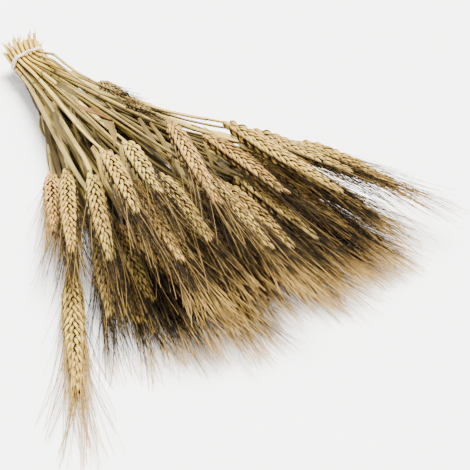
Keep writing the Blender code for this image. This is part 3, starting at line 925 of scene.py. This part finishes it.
def add_loops(skin, outline):
    """Two ribbed elastic strands that cross above and below the straws."""
    middle = outline[:, :2] + outline[:, 2:] * (LOOP_INSIDE + LOOP_THICK / 2)
    closed = np.concatenate([middle[-3:], middle, middle[:4]])
    run = measured(closed)
    at = np.linspace(run[3], run[-4], LOOP_RINGS, endpoint=False)
    yz = sampled(closed, run, at)
    for _ in range(3):
        yz = 0.25 * np.roll(yz, 1, axis=0) + 0.5 * yz + 0.25 * np.roll(yz, -1, axis=0)
    step = unit(np.roll(yz, -1, axis=0) - np.roll(yz, 1, axis=0))
    normal = np.stack([step[:, 1], -step[:, 0]], axis=1)
    angle = np.arange(LOOP_CORNERS) * 2 * np.pi / LOOP_CORNERS
    ribs = 1 + 0.05 * np.cos(angle * LOOP_RIBS)
    x = np.sign(np.cos(angle)) * abs(np.cos(angle)) ** LOOP_SQUARE * (LOOP_WIDE / 2) * ribs
    y = np.sign(np.sin(angle)) * abs(np.sin(angle)) ** LOOP_SQUARE * (LOOP_THICK / 2) * ribs
    for turn in (-1, 1):
        slant = turn * LOOP_SLANT
        ride_over = LOOP_RISE * np.exp(-(yz[:, 0] / 4.5) ** 2) * (normal[:, 1] > 0.3) * (turn > 0)
        out = yz + normal * ride_over[:, None]
        centre = np.column_stack([slant * yz[:, 0], out])
        normal3 = np.column_stack([np.zeros(LOOP_RINGS), normal])
        along = unit(np.column_stack([slant * step[:, 0], step]))
        wide = np.cross(normal3, along)
        rings = sections(centre, x, wide, y, normal3)
        rings[..., 2] = np.maximum(rings[..., 2], 0.02)
        grain = stacked(x, y, np.arange(LOOP_RINGS)[:, None] * 0.6, rings[..., 0])
        skin.loft(rings[None], np.array([0.5, 0.5, 0.0]), grain[None], ring_closed=True)


class Nodes:
    """Short hand for building one material's nodes."""

    def __init__(self, name):
        self.material = bpy.data.materials.new(name)
        self.material.use_nodes = True
        self.tree = self.material.node_tree
        self.shader = self.tree.nodes["Principled BSDF"]
        self.shader.inputs["Specular IOR Level"].default_value = 0.14

    def add(self, kind, **values):
        """New node with the given settings."""
        node = self.tree.nodes.new(kind)
        for key, value in values.items():
            setattr(node, key, value)
        return node

    def feed(self, socket, value):
        """Give an input a number, a colour or the output of another node."""
        if isinstance(value, (int, float)):
            socket.default_value = value
        elif isinstance(value, tuple):
            socket.default_value = (*value, 1.0)
        else:
            self.tree.links.new(value, socket)

    def attribute(self, name):
        """Values stored with the points of the mesh."""
        return self.add("ShaderNodeAttribute", attribute_name=name).outputs["Vector"]

    def split(self, vector):
        """The three parts of a vector."""
        node = self.add("ShaderNodeSeparateXYZ")
        self.feed(node.inputs[0], vector)
        return node.outputs

    def noise(self, vector, stretch, detail=3.0, roughness=0.55):
        """Noise of a vector whose axes are scaled by stretch first."""
        mapping = self.add("ShaderNodeMapping")
        mapping.inputs["Scale"].default_value = stretch
        self.feed(mapping.inputs["Vector"], vector)
        node = self.add("ShaderNodeTexNoise")
        node.inputs["Scale"].default_value = 1.0
        node.inputs["Detail"].default_value = detail
        node.inputs["Roughness"].default_value = roughness
        self.feed(node.inputs["Vector"], mapping.outputs[0])
        return node.outputs["Fac"]

    def ramp(self, source, stops):
        """Colour by a value; each stop is a position and a colour, or one number for a grey."""
        node = self.add("ShaderNodeValToRGB")
        elements = node.color_ramp.elements
        while len(elements) < len(stops):
            elements.new(0.5)
        for element, (position, color) in zip(elements, stops):
            element.position = position
            element.color = (*color, 1.0) if isinstance(color, tuple) else (color, color, color, 1.0)
        self.feed(node.inputs[0], source)
        return node.outputs["Color"]

    def times(self, source, factor):
        """A value times a number."""
        node = self.add("ShaderNodeMath", operation="MULTIPLY")
        self.feed(node.inputs[0], source)
        self.feed(node.inputs[1], factor)
        return node.outputs[0]

    def mix(self, share, a, b, blend="MIX"):
        """Blend from one colour to another by a share."""
        node = self.add("ShaderNodeMix", data_type="RGBA", blend_type=blend)
        for socket, value in zip((node.inputs[0], node.inputs[6], node.inputs[7]), (share, a, b)):
            self.feed(socket, value)
        return node.outputs[2]

    def finish(self, color, rough, bumps):
        """Wire the colour, the roughness (source, low, high) and the bumps (height, distance, strength)."""
        source, low, high = rough
        self.feed(self.shader.inputs["Base Color"], color)
        self.feed(self.shader.inputs["Roughness"], self.ramp(source, [(0.3, low), (0.7, high)]))
        below = self.shader.inputs["Normal"]
        for height, distance, strength in reversed(bumps):
            node = self.add("ShaderNodeBump")
            node.inputs["Distance"].default_value = distance
            node.inputs["Strength"].default_value = strength
            self.feed(node.inputs["Height"], height)
            self.feed(below, node.outputs[0])
            below = node.inputs["Normal"]
        return self.material


def straw_material():
    """Dry straw: fine lengthwise fibres, blotches, dark nodes, painted shade on the undersides, in the
    hollow of the cut end and deep in the bunch, four families of tint.
    """
    n = Nodes("dry_straw")
    tone = n.split(n.attribute("tone"))
    grain = n.attribute("grain")
    fibre = n.noise(grain, (4.2, 1.2, 0.09), 4.0, 0.6)
    blotch = n.noise(grain, (0.35, 0.35, 0.05), 3.0)
    family = n.ramp(tone[2], [
        (0.0, (0.80, 0.52, 0.085)), (0.25, (0.54, 0.40, 0.10)), (0.6, (0.27, 0.165, 0.032)),
        (0.85, (0.22, 0.20, 0.04)),
    ])
    pale = n.mix(n.times(tone[0], 0.6), family, (0.80, 0.61, 0.18))
    streaked = n.mix(n.times(fibre, 0.55), pale, (0.13, 0.075, 0.016))
    spotted = n.mix(n.ramp(blotch, [(0.5, 0), (0.7, 0.6)]), streaked, (0.14, 0.075, 0.017))
    # painted shade on the underside of each straw
    crown = n.times(n.split(grain)[1], 0.8)
    painted_rim_shade = n.ramp(crown, [(0.0, 0.88), (0.34, 0)])
    painted_rim_shaded = n.mix(painted_rim_shade, spotted, (0.020, 0.012, 0.003))
    # tone[1]: dark nodes and sheath ends, with painted shade in the hollow and on straws deep in the bunch
    dark = n.mix(n.times(tone[1], 0.96), painted_rim_shaded, (0.016, 0.010, 0.003))
    return n.finish(dark, (fibre, 0.42, 0.68), [(fibre, 0.00035, 0.7), (blotch, 0.0008, 0.3)])


def husk_material():
    """Papery husks: painted shade on the rim and foot round a bright belly, veins towards the point, painted
    shade and random shade by husk, painted shade by ear.
    """
    n = Nodes("dry_husk")
    tone = n.split(n.attribute("tone"))
    grain = n.attribute("grain")
    vein = n.noise(grain, (2.4, 2.4, 0.14), 3.0, 0.6)
    speck = n.noise(grain, (0.9, 0.9, 0.5), 4.0, 0.65)
    family = n.ramp(tone[2], [
        (0.0, (0.60, 0.375, 0.050)), (0.3, (0.64, 0.45, 0.095)), (0.6, (0.56, 0.265, 0.055)),
        (0.85, (0.16, 0.115, 0.03)),
    ])
    place = n.add("ShaderNodeCombineXYZ")
    n.feed(place.inputs[0], n.times(tone[2], 60.0))
    n.feed(place.inputs[2], n.split(grain)[2])
    stain = n.noise(place.outputs[0], (1.0, 1.0, 0.045), 2.0)
    stained = n.mix(n.ramp(stain, [(0.46, 0), (0.64, 0.75)]), family, (0.50, 0.215, 0.035))
    # painted shade: husks deep in the bunch and towards the ear's tip darken, each also by its own random
    # shade
    deep = n.mix(0.82, family, (0.022, 0.012, 0.003))
    shade = n.ramp(tone[0], [(0.0, 0.1), (0.4, 0.8), (1.0, 1)])
    shaded = n.mix(shade, deep, n.mix(0.36, stained, (0.92, 0.66, 0.19)))
    # painted shade at the foot of each husk, in the gaps between husks; the point is darker too
    foot = n.ramp(tone[1], [(0.0, 0.97), (0.42, 0.10), (0.8, 0.0),
                            (1.0, 0.6)])
    painted_foot_shaded = n.mix(foot, shaded, (0.020, 0.011, 0.003))
    # painted shade on the rim and inner side of each husk, leaving the belly bright
    crown = n.times(n.split(grain)[1], 0.7)
    painted_rim_shade = n.ramp(crown, [(0.06, 0.98), (0.48, 0)])
    painted_rim_shaded = n.mix(painted_rim_shade, painted_foot_shaded, (0.011, 0.006, 0.0015))
    veined = n.mix(n.times(vein, 0.35), painted_rim_shaded, (0.11, 0.065, 0.015))
    specked = n.mix(n.ramp(speck, [(0.55, 0), (0.75, 0.5)]), veined, (0.15, 0.06, 0.018))
    return n.finish(specked, (vein, 0.44, 0.7), [(vein, 0.0005, 0.8), (speck, 0.0006, 0.3)])


def awn_material():
    """Bristles: painted shade in the depth of the bunch, straw gold towards their ends and paler with
    painted light on the fringe and at the edges of the fan, each of its own shade.
    """
    n = Nodes("dry_awn")
    tone = n.split(n.attribute("tone"))
    grain = n.attribute("grain")
    speck = n.noise(grain, (1.4, 1.4, 0.12), 3.0)
    # colour along each awn, its place moved on by painted light at the fringe and the edges of the fan
    along = n.ramp(tone[1], [
        (0.0, (0.36, 0.225, 0.060)), (0.2, (0.25, 0.155, 0.042)), (0.48, (0.27, 0.168, 0.046)),
        (0.75, (0.42, 0.265, 0.072)), (0.95, (0.70, 0.445, 0.128)),
    ])
    # painted shade deep in the bunch and painted light at the tips, with random tone by awn
    shade = n.ramp(tone[0], [
        (0.0, (0.030, 0.027, 0.023)), (0.52, (0.09, 0.082, 0.070)), (0.72, (0.88, 0.87, 0.84)),
        (1.0, (1.35, 1.35, 1.32)),
    ])
    shaded = n.mix(1.0, along, shade, "MULTIPLY")
    specked = n.mix(n.times(speck, 0.3), shaded, (0.04, 0.022, 0.006))
    return n.finish(specked, (speck, 0.45, 0.65), [(speck, 0.0003, 0.4)])


def leaf_material():
    """Dry blade: pale ribs over grey-green to pinkish tan, with rusty patches."""
    n = Nodes("dry_leaf")
    tone = n.split(n.attribute("tone"))
    grain = n.attribute("grain")
    fibre = n.noise(grain, (2.6, 2.6, 0.08), 4.0, 0.6)
    patch = n.noise(grain, (0.25, 0.25, 0.12), 3.0)
    family = n.ramp(tone[2], [
        (0.2, (0.042, 0.043, 0.007)), (0.5, (0.24, 0.105, 0.022)), (0.75, (0.20, 0.125, 0.022)),
        (1.0, (0.07, 0.045, 0.011)),
    ])
    ribbed = n.mix(n.times(tone[0], 0.3), family, (0.20, 0.17, 0.055))
    streaked = n.mix(n.times(fibre, 0.6), ribbed, (0.025, 0.017, 0.005))
    rusty = n.mix(n.ramp(patch, [(0.54, 0), (0.68, 0.75)]), streaked, (0.12, 0.04, 0.008))
    return n.finish(rusty, (fibre, 0.5, 0.75), [(fibre, 0.0005, 0.8), (patch, 0.001, 0.4)])


def elastic_material():
    """Milky elastic with a faint lengthwise weave."""
    n = Nodes("elastic_white")
    grain = n.attribute("grain")
    weave = n.noise(grain, (3.0, 3.0, 0.8), 3.0)
    color = n.ramp(weave, [(0.3, (0.50, 0.455, 0.36)), (0.7, (0.72, 0.67, 0.56))])
    n.shader.inputs["Subsurface Weight"].default_value = 0.35
    n.shader.inputs["Subsurface Radius"].default_value = (0.002, 0.0018, 0.0015)
    n.shader.inputs["Subsurface Scale"].default_value = 0.6
    return n.finish(color, (weave, 0.3, 0.5), [(weave, 0.0003, 0.5)])


def floor_material():
    """Plain pale surface with the slightest grain."""
    n = Nodes("pale_floor")
    where = n.add("ShaderNodeTexCoord").outputs["Object"]
    mottle = n.noise(where, (6.0, 6.0, 6.0), 3.0)
    fine = n.noise(where, (900.0, 900.0, 900.0), 2.0)
    color = n.ramp(mottle, [(0.3, (0.94, 0.94, 0.937)), (0.7, (0.96, 0.96, 0.957))])
    return n.finish(color, (fine, 0.85, 0.92), [(fine, 0.0001, 0.1)])


def placed(name, data):
    """New object in the scene."""
    obj = bpy.data.objects.new(name, data)
    bpy.context.scene.collection.objects.link(obj)
    return obj


def aim(obj, direction):
    """Point an object's -Z along a direction, with Z up."""
    obj.rotation_euler = Vector(direction).to_track_quat("-Z", "Y").to_euler()


def add_stage(shift):
    """Floor, soft light and the camera."""
    mesh = bpy.data.meshes.new("floor")
    corners = [(x * FLOOR_HALF, y * FLOOR_HALF, 0) for x, y in ((-1, -1), (1, -1), (1, 1), (-1, 1))]
    mesh.from_pydata(corners, [], [(0, 1, 2, 3)])
    mesh.materials.append(floor_material())
    floor = placed("floor", mesh)
    floor.location.z = -0.0001

    world = bpy.data.worlds.new("soft_sky")
    world.use_nodes = True
    sky = world.node_tree.nodes["Background"]
    sky.inputs["Color"].default_value = (1.0, 1.0, 1.0, 1.0)
    sky.inputs["Strength"].default_value = SKY_STRENGTH
    bpy.context.scene.world = world
    lamp = bpy.data.lights.new("overhead", "SUN")
    lamp.energy = SUN_STRENGTH
    lamp.angle = math.radians(SUN_ANGLE)
    lamp.color = SUN_COLOR
    aim(placed("overhead", lamp), SUN_AIM)

    lens = bpy.data.cameras.new("camera")
    lens.angle = math.radians(CAMERA_ANGLE)
    camera = placed("camera", lens)
    camera.location = Vector(CAMERA_AT) * MM + Vector(shift)
    aim(camera, CAMERA_AIM)
    bpy.context.scene.camera = camera


def main(cad_box):
    """Lay the bunch out, build every piece over its solid, and set the stage."""
    stalks, heap = lay_stalks()
    leaves = lay_leaves(heap)
    outline = loop_outline(stalks)
    band_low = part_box("elastic_band")[0]
    low = loop_low_corner(outline) * MM
    shift = np.array([band_low[0] - low[0], band_low[1] - low[1], 0.0])
    limits = (np.array(cad_box) - shift) / MM + np.array([-PROUD, PROUD])

    stalk_materials = [straw_material(), husk_material(), awn_material()]
    for number, stalk in enumerate(stalks, 1):
        rng = np.random.default_rng(STALK_SEED + number)
        family = (stalk["row"] * 2 + stalk["place"]) % 3
        kind = 0.9 if stalk["small"] else family * 0.3 + rng.uniform(-0.1, 0.1)
        stalk["azimuth"], stalk["inside"] = place_in_fan(stalk)
        # painted shade by row for stalks deep in the bunch, fading out towards the edges of the fan
        stalk["depth"] = PAINTED_DEPTH_SHADE[stalk["row"]] * stalk["inside"]
        skin = Skin()
        add_straw(skin, stalk, rng, kind)
        add_ear(skin, stalk, rng, kind, limits)
        node = f"stalk_{number:02d}"
        skin.piece(f"triticale_{node}", node, stalk_materials, shift)
    leaf_look = leaf_material()
    for number, leaf in enumerate(leaves, 1):
        skin = Skin()
        add_leaf(skin, leaf, np.random.default_rng(LEAF_SEED + number), number)
        skin.piece(f"leaf_blade_{number}", f"leaf_{number}", [leaf_look], shift)
    skin = Skin()
    add_loops(skin, outline)
    skin.piece("elastic_tie", "elastic_band", [elastic_material()], shift)
    add_stage(shift)


cad_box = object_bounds()
main(cad_box)
